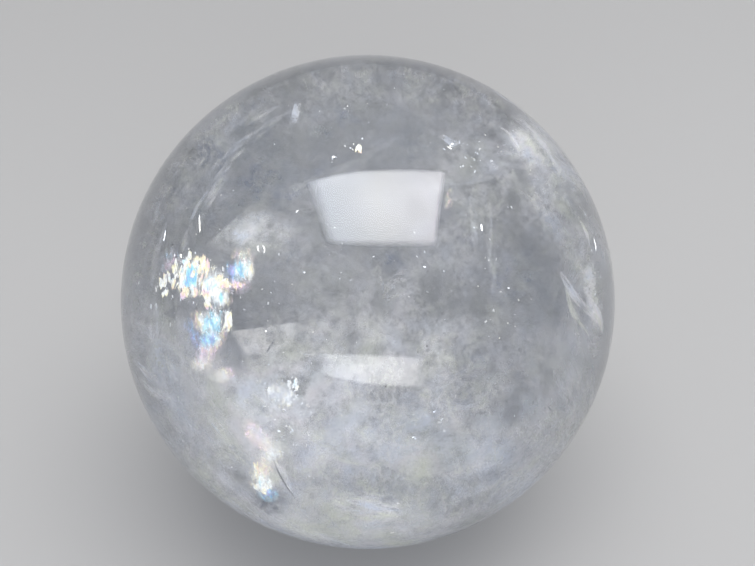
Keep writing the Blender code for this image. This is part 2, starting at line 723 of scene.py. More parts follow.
STREAKS = listed(
    Streak,
    ((497, 125), (520, 150), 3, 5, 0.06, 0.6), ((524, 124), (555, 168), 4, 6, 0.05, 0.5),
    ((546, 148), (560, 178), 2, 5, 0.05, 0.4), ((588, 294), (602, 334), 3, 7, 0.06, 1.2),
    ((560, 270), (600, 322), -4, 9, 0.07, 0.8), ((580, 220), (589, 248), 2, 4, 0.05, 1.2),
    ((566, 285), (590, 340), -3, 9, 0.08, 0.7), ((274, 459), (291, 494), 3, 6, 0.08, 1.4),
    ((255, 470), (268, 488), 2, 10, 0.09, 1.8), ((248, 425), (268, 444), 2, 12, 0.09, 1.2),
    ((330, 350), (298, 352), 2, 6, 0.1, 0.6), ((470, 190), (476, 260), 1, 8, 0.09, 0.14),
    ((489, 200), (493, 300), 1, 12, 0.09, 0.14),
)

# Faint streaks that follow the outline on the left, with angles in degrees and radii in shares of the ball's
LIMB_COUNT = 60
LIMB_ANGLES = (115.0, 235.0)
LIMB_HALF_ANGLES = (3, 9)
LIMB_RADII = (0.74, 0.965)
LIMB_WIDTHS_PX = (2, 9)
LIMB_STRENGTHS = (0.08, 0.3)
LIMB_SHARES = (0.02, 0.08)

NEEDLES = listed(
    Streak,
    ((199.3, 215), (199.9, 232.5), 0.0, 1.1, 0.04, 1.0),
    ((165.5, 230), (163.4, 241.5), 0.3, 0.7, 0.03, 1.0), ((447, 146), (452, 149), -0.3, 0.9, 0.07, 1.0),
    ((481.2, 224), (482.2, 231), 0.0, 1.8, 0.05, 1.0), ((276, 462), (293, 493), -2.0, 0.8, 0.05, 0.8),
    ((262, 245), (264, 253), 1.5, 1.0, 0.06, 0.9), ((258.5, 245), (259.5, 252), -1.2, 0.8, 0.06, 0.7),
    ((296, 213), (299, 210), 0.5, 0.6, 0.06, 1.0), ((594, 239), (596, 251), 0.5, 0.7, 0.03, 0.9),
)

DARK_CRACKS = listed(
    Streak,
    ((229, 330), (256, 319), 2, 1.8, 0.07, 1.0), ((275, 338), (265.5, 353.5), 0.5, 3.2, 0.05, 1.2),
    ((273, 459), (296, 499), -2, 2.8, 0.04, 1.1), ((481, 231), (482, 239), 0.5, 1.8, 0.04, 1.0),
    ((205, 268), (202, 282), 0.5, 2.0, 0.07, 1.0), ((201, 283), (199, 297), 0.8, 2.4, 0.07, 1.0),
    ((176, 262), (179, 290), 1.0, 2.0, 0.07, 0.8), ((196, 300), (198, 312), -1, 2.2, 0.07, 0.8),
    ((201.6, 216), (202.2, 233), 0.0, 1.6, 0.038, 0.9), ((232, 293), (234, 316), -2, 3.0, 0.09, 0.5),
    ((545, 404), (553, 414), 1, 2.2, 0.03, 1.0), ((323, 362), (327, 370), 0.3, 1.5, 0.004, 0.8),
    ((224, 262), (212, 272), 1, 4.0, 0.09, 0.5),
)

CRACKS = listed(
    Crack,
    ((190, 277), (11, 19), 4, 0.090, 0.06, 0.40), ((186, 259), (7, 10), -8, 0.085, 0.44, 0.14, 0.08),
    ((199, 268), (9, 14), 12, 0.085, 0.42, 0.26, 0.06),
    ((206, 271), (4, 11), 15, 0.080, 0.50, 0.16, 0.06), ((190, 293), (11, 9), 0, 0.085, 0.42, 0.42),
    ((182, 277), (4, 18), 3, 0.080, 0.40, 0.14), ((176, 270), (5, 12), -6, 0.085, 0.42, 0.20),
    ((171, 280), (5, 13), -8, 0.085, 0.42, 0.20), ((163, 281), (5, 9), 0, 0.080, 0.44, 0.16),
    ((164, 293), (5, 5), 0, 0.080, 0.44, 0.10), ((213, 287), (13, 16), 20, 0.100, 0.40, 0.20),
    ((207, 301), (7, 12), -20, 0.090, 0.42, 0.44), ((223, 281), (11, 8), 30, 0.095, 0.44, 0.30, 0.06),
    ((227, 320), (7, 14), 8, 0.080, 0.46, 0.12, 0.04),
    ((236, 285), (10, 7), -10, 0.105, 0.66, 0.16, 0.06, 0.8),
    ((263, 479), (11, 16), -12, 0.080, 0.34, 0.20, -0.05), ((256, 471), (4, 10), -15, 0.075, 0.55, 0.08),
    ((262, 487), (10, 6), 10, 0.075, 0.42, 0.10), ((269, 491), (9, 5), 20, 0.080, 0.12, 0.10, 0.0, 0.9),
    ((255, 432), (16, 9), 40, 0.100, 0.68, 0.16, 0.10, 0.8),
    ((264, 443), (12, 8), 40, 0.095, 0.46, 0.20, 0.0, 0.8),
    ((273, 393), (9, 7), 0, 0.110, 0.44, 0.14, 0.12, 0.8),
    ((287, 398), (7, 10), 15, 0.100, 0.44, 0.12, 0.0, 0.75),
    ((293, 384), (7, 7), 0, 0.100, 0.42, 0.14, 0.0, 0.75),
    ((359, 148), (4, 6), 10, 0.060, 0.46, 0.16, 0.0, 1.0),
)

# Cracks that stay whole, and only glow softly
SOFT_CRACKS = listed(
    Crack,
    ((234, 271), (12, 13), 0, 0.110, 0.04, 0.20, 0.10, 0.75),
    ((243, 269), (12, 16), 0, 0.105, 0.30, 0.08, 0.06, 0.95),
    ((250, 271), (6, 13), 0, 0.100, 0.58, 0.03, 0.03, 0.85),
    ((242, 256), (15, 9), 0, 0.110, 0.64, 0.10, 0.04, 0.45),
    ((238, 286), (17, 9), -10, 0.110, 0.70, 0.14, 0.06, 0.5),
    ((220, 297), (14, 13), 0, 0.085, 0.30, 0.30, 0.10, 0.95),
    ((212, 283), (19, 20), 20, 0.105, 0.42, 0.10, 0.0, 0.9),
    ((202, 322), (11, 15), -25, 0.090, 0.52, 0.10, -0.10, 0.8),
    ((213, 323), (14, 18), 10, 0.085, 0.26, 0.12, 0.03, 1.0),
    ((210, 338), (13, 12), -15, 0.080, 0.14, 0.12, 0.02, 0.95),
    ((194, 334), (9, 18), -20, 0.105, 0.02, 0.10, 0.03, 0.4),
    ((217, 344), (7, 24), 30, 0.100, 0.62, 0.12, 0.06, 0.7),
    ((205, 352), (9, 20), 24, 0.095, 0.80, 0.10, 0.06, 0.7),
    ((202, 364), (12, 9), 0, 0.095, 0.50, 0.14, 0.0, 0.7),
    ((224, 375), (14, 9), -10, 0.100, 0.50, 0.20, 0.2, 0.95),
    ((258, 436), (22, 11), 45, 0.095, 0.62, 0.16, 0.12, 1.2),
    ((272, 452), (14, 14), 30, 0.090, 0.44, 0.16, 0.0, 1.0),
    ((264, 466), (10, 14), -10, 0.088, 0.56, 0.16, -0.08, 0.9),
    ((262, 480), (14, 18), -12, 0.085, 0.40, 0.16, -0.04, 0.8),
    ((268, 494), (12, 8), 15, 0.085, 0.14, 0.12, 0.0, 0.7),
    ((280, 396), (20, 16), 20, 0.115, 0.44, 0.16, 0.08, 0.5),
    ((449, 200), (5, 12), 10, 0.110, 0.62, 0.10, 0.05, 0.4),
    ((172, 262), (12, 16), 10, 0.100, 0.84, 0.12, 0.0, 0.35),
    ((189, 275), (16, 24), 3, 0.095, 0.44, 0.12, 0.04, 0.6),
)

# Each crisp crack breaks into slivers, most of them upright, by shares of its own size
SLIVER_COUNT = 6
SLIVER_WIDTHS = (0.25, 0.5)
SLIVER_HEIGHTS = (0.4, 1.0)
SLIVER_SCATTER = (0.62, 0.5)
SLIVER_LEAN = 14.0
SLIVER_TILT = 4.0
SLIVER_DEPTHS = (-0.004, 0.004)
SLIVER_EDGE = 0.8
DENT_DEPTH = 0.0001

SWARMS = listed(
    Swarm,
    ((280, 405), (13, 18), 60, 1.5, 8), ((185, 278), (18, 18), 60, 1.9, 9, 0.25),
    ((222, 288), (10, 12), 30, 1.7, 9, 0.4), ((214, 325), (12, 14), 20, 1.7, 9, 0.4),
    ((285, 440), (26, 22), 36, 1.4, 9), ((472, 158), (8, 9), 16, 1.4, 9),
    ((450, 145), (8, 6), 8, 1.4, 9), ((356, 148), (5, 5), 5, 1.2, 6), ((347, 110), (3, 2), 4, 1.2, 14),
    ((334, 160), (3, 3), 4, 1.2, 9), ((370, 110), (45, 25), 14, 1.0, 16),
    ((485, 235), (12, 22), 12, 1.3, 12, 0.3), ((505, 315), (14, 16), 12, 1.2, 12),
    ((400, 270), (50, 26), 18, 1.1, 14), ((403, 512), (10, 7), 14, 2.0, 8),
    ((520, 140), (22, 18), 22, 1.3, 12), ((594, 290), (6, 34), 22, 1.6, 10, 0.3),
    ((250, 300), (40, 40), 40, 1.3, 14), ((177, 437), (6, 5), 8, 1.8, 8),
    ((440, 425), (16, 12), 10, 1.5, 9), ((368, 300), (150, 150), 90, 0.9, 20),
)

# Gas bubbles, the first of them a large one, and pits in the polish
RINGS_PX = (
    (172.7, 247), (262.5, 249), (282.5, 249), (276, 259), (272, 300), (298, 212), (436, 194), (488, 118),
)
PITS_PX = ((350.5, 219), (427, 346), (545, 408), (295, 100), (418, 352), (386, 386), (360, 210), (395, 502))


# Settings


def colour_setting(name, description, default):
    """A colour in the panel."""
    return FloatVectorProperty(
        name=name, description=description, default=default, subtype="COLOR", min=0, max=1
    )


def amount_setting(name, description, default, **more):
    """A number in the panel that is not below zero."""
    return FloatProperty(name=name, description=description, default=default, min=0, **more)


def count_setting(name, description, default):
    """A whole number in the panel that is not below one."""
    return IntProperty(name=name, description=description, default=default, min=1)


class StoneSettings(bpy.types.PropertyGroup):
    """The stone's own clarity and colour."""

    stone_colour: colour_setting(
        "Stone colour", "The tint that light takes on its way through the ball", (0.91, 0.93, 0.965)
    )
    depth_colour: colour_setting(
        "Depth colour", "The colour that deep stone turns light towards", (0.31, 0.343, 0.392)
    )
    depth_density: amount_setting("Depth density", "How fast depth takes that colour, per metre", 25.0)
    milkiness: amount_setting(
        "Milkiness",
        "The share of light that the stone scatters instead of letting through",
        0.055,
        max=1,
        subtype="FACTOR",
    )
    veil_count: count_setting("Veils", "How many large veils cross the ball", 8)
    shallow_count: count_setting("Shallow veils", "How many veils lie close under the polish", 16)
    veil_density: amount_setting("Veil density", "How milky the densest part of one veil is", 0.76)
    haze_count: count_setting("Haze sheets", "How many sheets of fine haze lie behind one another", 2)
    haze_density: amount_setting("Haze density", "How milky the densest part of one haze sheet is", 0.28)
    wisp_count: count_setting("Wisps", "How many small veils float in the ball", 64)
    wisp_radius: amount_setting(
        "Wisp radius", "Radius of the largest small veils", 0.011, subtype="DISTANCE", unit="LENGTH"
    )


class StudioSettings(bpy.types.PropertyGroup):
    """The floor and the lights round the stone."""

    floor_colour: colour_setting("Floor colour", "The pale floor under the stone", (0.30, 0.30, 0.304))
    key_power: amount_setting("Overhead light", "Power of the soft box above", 4.85, unit="POWER")
    front_power: amount_setting("Front light", "Power of the strip in front", 10.5, unit="POWER")
    shine: amount_setting("Shine", "Brightness of the lamps as the polish mirrors them", 6.6)
    sky: amount_setting("Surroundings", "Brightness of the pale room overhead", 0.6)
    horizon: amount_setting("Horizon", "Brightness of the room at floor level", 0.28)


# Shapes

CLOUD_LIMITS = (0.16, 1.9)

# Large veils, with distances in shares of the ball's radius
VEIL_OFFSETS = (-0.75, 0.75)
VEIL_REACH_SQUARED = 0.94
VEIL_BEND = 0.12
VEIL_PACES = (0.8, 2.0)
VEIL_EDGE = 0.25
VEIL_STRENGTHS = (0.6, 1.2)
VEIL_HINT = (0.3, 0.9, 0.2)

# Shallow veils, with distances in shares of the ball's radius, and angles in radians
CAP_ANGLES = (0.5, 0.95)
CAP_REACHES = (0.70, 0.90)
CAP_ROCK = 0.06
CAP_PACES = (2.2, 2.6)
CAP_EDGE = 0.45
CAP_STRENGTHS = (0.5, 1.1)

# Haze sheets, with depths in shares of the way through, and the rest in shares of the ball's outline
HAZE_NEAREST = 0.06
HAZE_SPREAD = 0.34
HAZE_ROCK = 0.03
HAZE_REACH = 0.99
HAZE_EDGE = 0.03
HAZE_RIM = (0.80, 0.95)
HAZE_RIM_STRENGTH = 1.1

# Wisps, square to one of the stone's three cleavage directions, give or take the stray
CLEAVAGE_WAYS = unit(((0.9, 0.1, 0.44), (-0.35, 0.83, 0.44), (-0.5, -0.74, 0.44)))
CLEAVAGE_STRAY = 0.35
WISP_REACH = 0.88
WISP_SIZES = (0.3, 1.0)
WISP_RATIOS = (0.35, 1.0)
WISP_CURL = 0.25
WISP_EDGE = 0.8
WISP_STRENGTHS = (0.5, 1.3)
WISP_HINT = (0.2, 0.3, 0.93)

# Flakes, bubbles and pits
FLAKE_SHARES = (0.03, 0.3)
FLAKE_SIZES = (0.5, 1.6)
FLAKE_BREADTH = 0.5
FLAKE_STRETCHES = (0.6, 1.6)
FLAKE_SKEW = 0.35
FLAKE_HALF_THICKNESS = 0.000012
FLAKES_WITHIN = 0.95
RING_SHARES = (0.06, 0.2)
RING_RADIUS = 0.0004
LOOSE_BUBBLES = 20
LOOSE_REACHES = (0.2, 0.9)
SPECK_RADII = (0.00006, 0.00014)
PIT_SHARE = 0.003

# How soon the polished ball turns over into its flat spot, how near level a direction may count as
# downward, and the highest power that is worked out
FLAT_EASE = 0.00004
LEVEL = 1e-3
HIGHEST_POWER = 60


def cloudiness(points):
    """How milky the stone is at each point: 1, plus each zone's amount times a bell curve round its
    sight line, and each rear pocket's amount times a bell curve round its middle.
    """
    total = np.ones(points.shape[:-1])
    for zone in ZONES:
        away = off_sight_line(points, zone.pixel) / (zone.radius_px * METRES_PER_PX)
        total += zone.amount * np.exp(-0.5 * away**2)
    rng = np.random.default_rng(POCKET_SEED)
    for _ in range(POCKET_COUNT):
        way = unit(rng.normal(size=3))
        way[1] = abs(way[1])
        middle = CENTRE + way * rng.uniform(*POCKET_DEPTHS) * BALL_RADIUS
        away = np.linalg.norm(points - middle, axis=-1) / rng.uniform(*POCKET_RADII)
        total += rng.uniform(*POCKET_AMOUNTS) * np.exp(-0.5 * away**2)
    return np.clip(total, *CLOUD_LIMITS)


def ball_surface(meridians, parallels):
    """The polished ball: each point lies at its direction from the centre, times the least of the ball's
    radius and the way down to the flat spot's plane, eased where the two meet.

    least(a, b) = -k * log(exp(-a / k) + exp(-b / k)), with k the ease of the edge.
    """
    directions = round_directions(meridians, parallels)
    to_plane = CENTRE_HEIGHT / np.maximum(-directions[:, 2:], LEVEL)
    past_plane = np.clip((BALL_RADIUS - to_plane) / FLAT_EASE, -HIGHEST_POWER, HIGHEST_POWER)
    reach = BALL_RADIUS - FLAT_EASE * np.log1p(np.exp(past_plane))
    return CENTRE + directions * reach, round_faces(meridians, parallels)


def large_veils(count, side, rng):
    """Sheets across the whole ball. A sheet is a disc, square to one of the directions of a golden
    spiral, at its own distance from the centre, and bent by two products of sine waves that die out at
    its rim.
    """
    x, y, r = square_to_disc(side)
    normal = spiral_directions((np.arange(count) + 0.5) / count)
    across, along = side_axes(normal, VEIL_HINT)
    offset = drawn(rng, VEIL_OFFSETS, count) * BALL_RADIUS
    reach = np.sqrt(VEIL_REACH_SQUARED * BALL_RADIUS**2 - offset**2)
    start = wave_starts(rng, 4, count)
    pace = rng.uniform(*VEIL_PACES, (4, count, 1, 1))
    broad = ripple(x, y, 2 * pace[:2], start[:2])
    narrow = np.sin(4 * pace[2] * x + start[2]) * np.sin(4 * pace[3] * y + start[3])
    bend = VEIL_BEND * BALL_RADIUS * (broad + 0.5 * narrow) * (1 - r**4)
    disc = (across * x[..., None] + along * y[..., None]) * reach[..., None]
    points = kept_inside(CENTRE + normal * (offset + bend)[..., None] + disc)
    fade = np.clip((1 - r) / VEIL_EDGE, 0, 1) * drawn(rng, VEIL_STRENGTHS, count) * cloudiness(points)
    return points, {"fade": fade, "grain": own_grain(points, count, rng)}


def shallow_veils(count, side, rng):
    """Curved sheets close under the polish, all round the ball. A sheet is a cap of a sphere a little
    smaller than the ball: it faces a direction of a golden spiral, and its reach rocks by a product of
    sine waves.
    """
    x, y, r = square_to_disc(side)
    middle = spiral_directions(1 - 2 * (np.arange(count) + 0.5) / count, first_turn=1.0)
    across, along = side_axes(middle, VEIL_HINT)
    angle = drawn(rng, CAP_ANGLES, count) * r
    lean = (across * x[..., None] + along * y[..., None]) / np.maximum(r, TINY)[..., None]
    way = middle * np.cos(angle)[..., None] + lean * np.sin(angle)[..., None]
    rock = CAP_ROCK * ripple(x, y, CAP_PACES, wave_starts(rng, 2, count))
    reach = drawn(rng, CAP_REACHES, count) + rock
    points = kept_inside(CENTRE + way * (reach * BALL_RADIUS)[..., None])
    fade = smooth_step((1 - r) / CAP_EDGE) * drawn(rng, CAP_STRENGTHS, count) * cloudiness(points)
    return points, {"fade": fade, "grain": own_grain(points, count, rng)}


def haze_sheets(count, side, rng):
    """Nearly clear sheets that face the camera, one behind the other. Each fills a disc in the picture,
    at a share of the way through that grows from sheet to sheet and rocks by a product of sine waves.
    They follow the stone's cloudiness in the middle, and are even round the rim.
    """
    x, y, r = square_to_disc(side)
    rank = np.arange(count)[:, None, None] / max(count - 1, 1)
    rock = HAZE_ROCK * ripple(x, y, (3, 3), wave_starts(rng, 2, count))
    pixels = np.stack((x, y), -1) * HAZE_REACH * BALL_RADIUS_PX + BALL_CENTRE_PX
    pixels = np.broadcast_to(pixels, (count, *pixels.shape))
    points = kept_inside(seen_at(pixels, HAZE_NEAREST + HAZE_SPREAD * rank + rock))
    rim = np.clip((r - HAZE_RIM[0]) / (HAZE_RIM[1] - HAZE_RIM[0]), 0, 1)
    even = cloudiness(points) ** 0.8 * (1 - rim) + HAZE_RIM_STRENGTH * rim
    fade = np.clip((1 - r) / HAZE_EDGE, 0, 1) * even
    return points, {"fade": fade, "grain": own_grain(flat(x, 0.8 * y) * BALL_RADIUS, count, rng)}


def small_wisps(count, largest, side, rng):
    """Small curled discs all through the ball. A disc lies at its
    middle + radius * (x * across + y * along) + curl * (x*x - y*y + sine waves) * normal.
    """
    x, y, r = square_to_disc(side)
    way = unit(rng.normal(size=(count, 3)))
    middle = way * rng.uniform(0, 1, (count, 1)) ** 0.4 * WISP_REACH * BALL_RADIUS
    stray = rng.normal(0, CLEAVAGE_STRAY, (count, 3))
    normal = unit(CLEAVAGE_WAYS[np.arange(count) % 3] + stray)[:, None, None]
    across, along = side_axes(normal, WISP_HINT)
    radius = largest * drawn(rng, WISP_SIZES, count)
    ratio = drawn(rng, WISP_RATIOS, count)
    # Of three starts two are used, and the third keeps what is drawn after it as it is
    wave = ripple(x, y, (3, 3), wave_starts(rng, 3, count))
    curl = WISP_CURL * radius * (x * x - y * y + 0.6 * wave)
    disc = across * (x * radius)[..., None] + along * (y * radius * ratio)[..., None]
    points = kept_inside(CENTRE + middle[:, None, None] + disc + normal * curl[..., None])
    fade = smooth_step((1 - r) / WISP_EDGE) * drawn(rng, WISP_STRENGTHS, count) * cloudiness(points)
    return points, {"fade": fade, "grain": own_grain(flat(x * radius, 1.5 * y * radius), count, rng)}


def patch_sheets(zones, share):
    """A square sheet round each zone's picture point, that fades all the way to its sides."""
    square = np.array(((-1, -1), (1, -1), (1, 1), (-1, 1)))
    corners = [np.array(zone.pixel) + zone.radius_px * square for zone in zones]
    return [Sheet(places, (share,) * 4, (0.5,) * 4, zone.amount) for places, zone in zip(corners, zones)]


def picture_sheets(sheets, side, rng):
    """Sheets with four corners in the picture: a point's place there, and its share of the way through,
    are the corners' own, weighted by (1-u)(1-v), u(1-v), uv and (1-u)v.
    """
    u, v, weights = four_cornered(side)
    pixels = np.einsum("kij,skp->sijp", weights, np.array([sheet.corners for sheet in sheets], float))
    shares = np.einsum("kij,sk->sij", weights, np.array([sheet.shares for sheet in sheets]))
    fade = column(sheets, "strength") * soft_sides(u, v, [sheet.fades for sheet in sheets])
    grain = flat(pixels[..., 0], pixels[..., 1]) * METRES_PER_PX
    return kept_inside(seen_at(pixels, shares)), {"fade": fade, "grain": own_grain(grain, len(sheets), rng)}


def bows(streaks, rows, columns):
    """Picture points of narrow bows: start + u (end - start) + (4 bow u (1-u) + width v taper) sideways,
    for u from 0 to 1 and v from -1/2 to 1/2, where the taper is the root of a half sine wave. Also each
    point's way along its bow and across it, in pixels.
    """
    u, v = np.meshgrid(np.linspace(0, 1, rows), np.linspace(-0.5, 0.5, columns), indexing="ij")
    start, end, bow, width = (column(streaks, field) for field in ("start", "end", "bow_px", "width_px"))
    way = end - start
    sideways = unit(np.stack((way[..., 1], -way[..., 0]), -1))
    taper = np.sqrt(np.maximum(np.sin(math.pi * u), 0.004))
    pixels = start + way * u[..., None] + sideways * (4 * bow * u * (1 - u) + width * v * taper)[..., None]
    return u, v, pixels, np.linalg.norm(way, axis=-1) * u, width * v


def picture_streaks(streaks, rows, columns, rng, squeeze=1.0):
    """Narrow sheets along bows in the picture, each at its share of the way through, thinner at its rim."""
    u, v, pixels, along, across = bows(streaks, rows, columns)
    points = kept_inside(seen_at(pixels, column(streaks, "share") + 0 * u))
    fade = column(streaks, "strength") * np.cos(math.pi * v) ** 0.7 * np.sin(math.pi * u) ** 0.4
    grain = own_grain(flat(squeeze * along, across) * METRES_PER_PX, len(streaks), rng)
    return points, {"fade": fade, "grain": grain}


def limb_streaks(count, rng):
    """Streaks that follow the ball's outline: each runs along a circle round the ball's centre in the
    picture, and its bow is that circle's, radius * (1 - cos(half angle)).
    """
    angle = np.radians(rng.uniform(*LIMB_ANGLES, count))
    half = np.radians(rng.uniform(*LIMB_HALF_ANGLES, count))
    radius = rng.uniform(*LIMB_RADII, count) * BALL_RADIUS_PX
    width, strength, share = (
        rng.uniform(*limits, count) for limits in (LIMB_WIDTHS_PX, LIMB_STRENGTHS, LIMB_SHARES)
    )
    ends = (
        np.stack((radius * np.cos(turn), -radius * np.sin(turn)), -1) + BALL_CENTRE_PX
        for turn in (angle + half, angle - half)
    )
    return [Streak(*fields) for fields in zip(*ends, radius * (1 - np.cos(half)), width, share, strength)]


def mirror_needles(streaks, rows, columns):
    """Narrow sheets along bows in the picture, each on the plane that mirrors the lamp to the camera."""
    pixels = bows(streaks, rows, columns)[2]
    middle = pixels[:, rows // 2, columns // 2]
    places, normals = lamp_facing(middle, np.array([streak.share for streak in streaks]))
    return kept_inside(on_plane(pixels, places[:, None, None], normals[:, None, None])), {}


def mirror_discs(cracks, parts, side, rng):
    """Discs that mirror the lamp: each crack breaks into its parts, and each part fills an ellipse in
    the picture, on about the plane that sends the lamp's light back to the eye, dented by sine waves.
    The order attribute grows from the middle of the whole crack, as its colours do:
    start + spread * distance + slope * across.
    """
    x, y, r = square_to_disc(side)
    count = len(cracks) * parts
    middle, radii, turn, share, start, spread, slope, strength = (
        np.repeat(column(cracks, field), parts, 0) for field in Crack._fields
    )
    turn = np.radians(turn)
    size, place, lean = np.ones((count, 1, 1, 2)), np.zeros((count, 1, 1, 2)), np.zeros((count, 1, 1))
    if parts > 1:
        size[..., 0] = drawn(rng, SLIVER_WIDTHS, count)
        size[..., 1] = drawn(rng, SLIVER_HEIGHTS, count)
        place = rng.uniform(-1, 1, (count, 1, 1, 2)) * SLIVER_SCATTER * radii
        lean = np.radians(rng.normal(0, SLIVER_LEAN, (count, 1, 1)))
    from_middle = place + turned(np.stack((x, y), -1) * size * radii, lean)
    pixels = middle + turned(from_middle, turn)
    own = (middle + turned(place, turn))[:, 0, 0]
    places, normals = lamp_facing(own, share[:, 0, 0] + rng.uniform(*SLIVER_DEPTHS, count))
    normals = tilted(normals, SLIVER_TILT, rng)[:, None, None]
    phase = wave_starts(rng, 2, count)
    dents = DENT_DEPTH * np.sin(7 * x + phase[0]) * np.sin(6 * y + phase[1])
    points = on_plane(pixels, places[:, None, None], normals) + dents[..., None] * normals
    from_middle = from_middle / radii
    order = start + spread * np.linalg.norm(from_middle, axis=-1) + slope * from_middle[..., 0]
    return kept_inside(points), {"fade": strength * np.clip((1 - r) / SLIVER_EDGE, 0, 1), "order": order}


def scattered(swarms, rng):
    """The flakes strewn round each swarm's picture point that are seen inside the ball: their picture
    points, their shares of the way through, half their length and breadth, their strays and their spins.
    """
    parts = []
    for swarm in swarms:
        pixels = np.array(swarm.pixel) + rng.normal(size=(swarm.count, 2)) * swarm.spread_px
        shares = rng.uniform(*FLAKE_SHARES, swarm.count)
        half = 0.5 * swarm.size_px * METRES_PER_PX * rng.uniform(*FLAKE_SIZES, (swarm.count, 1))
        sizes = half * (1, FLAKE_BREADTH) * rng.uniform(*FLAKE_STRETCHES, (swarm.count, 2))
        stray, spin = (np.full((swarm.count, 1), value) for value in (swarm.stray, swarm.spin))
        parts.append((pixels, shares, sizes, stray, spin))
    flakes = [np.concatenate(part) for part in zip(*parts)]
    seen = np.linalg.norm(flakes[0] - BALL_CENTRE_PX, axis=-1) < FLAKES_WITHIN * BALL_RADIUS_PX
    return [part[seen] for part in flakes]


def flake_plates(pixels, shares, half_sizes, stray, spin, rng):
    """Thin rhombic plates that mirror the lamp, each turned off its true facing by about its stray in
    degrees, and with its length turned off the upright by up to its spin.

    A corner lies at the place + a * long + b * short + c * normal, for the eight signs of a, b and c.
    """
    count = len(pixels)
    places, normals = lamp_facing(pixels, shares)
    normals = tilted(normals, stray, rng)
    spin = spin * rng.uniform(-1, 1, (count, 1))
    side = unit(np.cross(normals, CAMERA_TURN[:, 1]))
    upright = np.cross(side, normals)
    long = upright * np.cos(spin) + side * np.sin(spin)
    short = np.cross(normals, long) + FLAKE_SKEW * long
    signs = np.array([(a, b, c) for c in (-1, 1) for a, b in ((-1, -1), (1, -1), (1, 1), (-1, 1))], float)
    points = (
        places[:, None]
        + signs[:, 0, None] * (long * half_sizes[:, :1])[:, None]
        + signs[:, 1, None] * (short * half_sizes[:, 1:])[:, None]
        + signs[:, 2, None] * (normals * FLAKE_HALF_THICKNESS)[:, None]
    )
    plate = np.array(((3, 2, 1, 0), (4, 5, 6, 7), (0, 1, 5, 4), (1, 2, 6, 5), (2, 3, 7, 6), (3, 0, 4, 7)))
    faces = (plate[None] + 8 * np.arange(count)[:, None, None]).reshape(-1, 4)
    return kept_inside(points.reshape(-1, 3)), faces.tolist()


def small_balls(places, radii, meridians, parallels):
    """Closed round bubbles at the places: middle + radius * direction."""
    points = places[:, None] + radii[:, None, None] * round_directions(meridians, parallels)
    return points, round_faces(meridians, parallels, len(places))


# Operators


class STONE_OT_polish(bpy.types.Operator):
    """Builds the polished ball with its flat spot"""

    bl_idname = "stone.polish"
    bl_label = "Polished ball"

    def execute(self, context):
        points, faces = ball_surface(meridians=320, parallels=200)
        polish = polished_material(context.scene.stone)
        ball = new_piece("polished_ball", points, faces, polish, shadow=True)
        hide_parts(CAD_NODE)
        return {"FINISHED"}


class STONE_OT_veils(bpy.types.Operator):
    """Builds the large milky veils that cross the ball"""

    bl_idname = "stone.veils"
    bl_label = "Large veils"

    def execute(self, context):
        settings = context.scene.stone
        rng = np.random.default_rng(VEIL_SEED)
        veil = veil_material("milky_veil", MILK_COLOURS, 75.0, 420.0, (0.38, 0.66), settings.veil_density)
        sheets_piece("large_veils", veil, *large_veils(settings.veil_count, side=44, rng=rng))
        sheets_piece("shallow_veils", veil, *shallow_veils(settings.shallow_count, side=30, rng=rng))
        haze = veil_material("fine_haze", HAZE_COLOURS, 260.0, 1300.0, (0.3, 0.62), settings.haze_density)
        sheets_piece("fine_haze", haze, *haze_sheets(settings.haze_count, side=40, rng=rng))
        return {"FINISHED"}


class STONE_OT_wisps(bpy.types.Operator):
    """Builds the small wisps that float all through the ball"""

    bl_idname = "stone.wisps"
    bl_label = "Small wisps"

    def execute(self, context):
        settings = context.scene.stone
        wisp = veil_material("milky_wisp", MILK_COLOURS, 170.0, 800.0, (0.38, 0.62), 1.2)
        rng = np.random.default_rng(WISP_SEED)
        made = small_wisps(settings.wisp_count, settings.wisp_radius, side=16, rng=rng)
        sheets_piece("small_wisps", wisp, *made)
        return {"FINISHED"}


class STONE_OT_planes(bpy.types.Operator):
    """Builds the cleavage planes and bright streaks that the picture shows"""

    bl_idname = "stone.planes"
    bl_label = "Cleavage planes and streaks"

    def execute(self, context):
        rng = np.random.default_rng(PLANE_SEED)
        plane = veil_material("cleavage_plane", MILK_COLOURS, 230.0, 900.0, (0.34, 0.62), 1.4)
        sheets_piece("cleavage_planes", plane, *picture_sheets(PLANES, side=28, rng=rng))
        smooth = veil_material("smooth_plane", SMOOTH_COLOURS, 60.0, 420.0, (0.1, 0.3), 0.8)
        sheets_piece("smooth_planes", smooth, *picture_sheets(SMOOTH_PLANES, side=28, rng=rng))
        # Painted shade: the veil material with dark colours, on square sheets that darken the stone round
        # each shade's picture point
        shade = veil_material("shaded_patch", SHADE_COLOURS, 260.0, 1000.0, (0.36, 0.62), 0.9)
        patches = patch_sheets(SHADES, SHADE_SHARE)
        sheets_piece("shaded_patches", shade, *picture_sheets(patches, side=14, rng=rng))
        streak = veil_material("bright_streak", MILK_COLOURS, 400.0, 1600.0, (0.3, 0.6), 1.5)
        streaks = [*STREAKS, *limb_streaks(LIMB_COUNT, rng)]
        made = picture_streaks(streaks, rows=30, columns=7, rng=rng, squeeze=0.3)
        sheets_piece("bright_streaks", streak, *made)
        made = picture_streaks(DARK_CRACKS, rows=24, columns=5, rng=rng)
        sheets_piece("dark_cracks", dark_material(), *made)
        return {"FINISHED"}


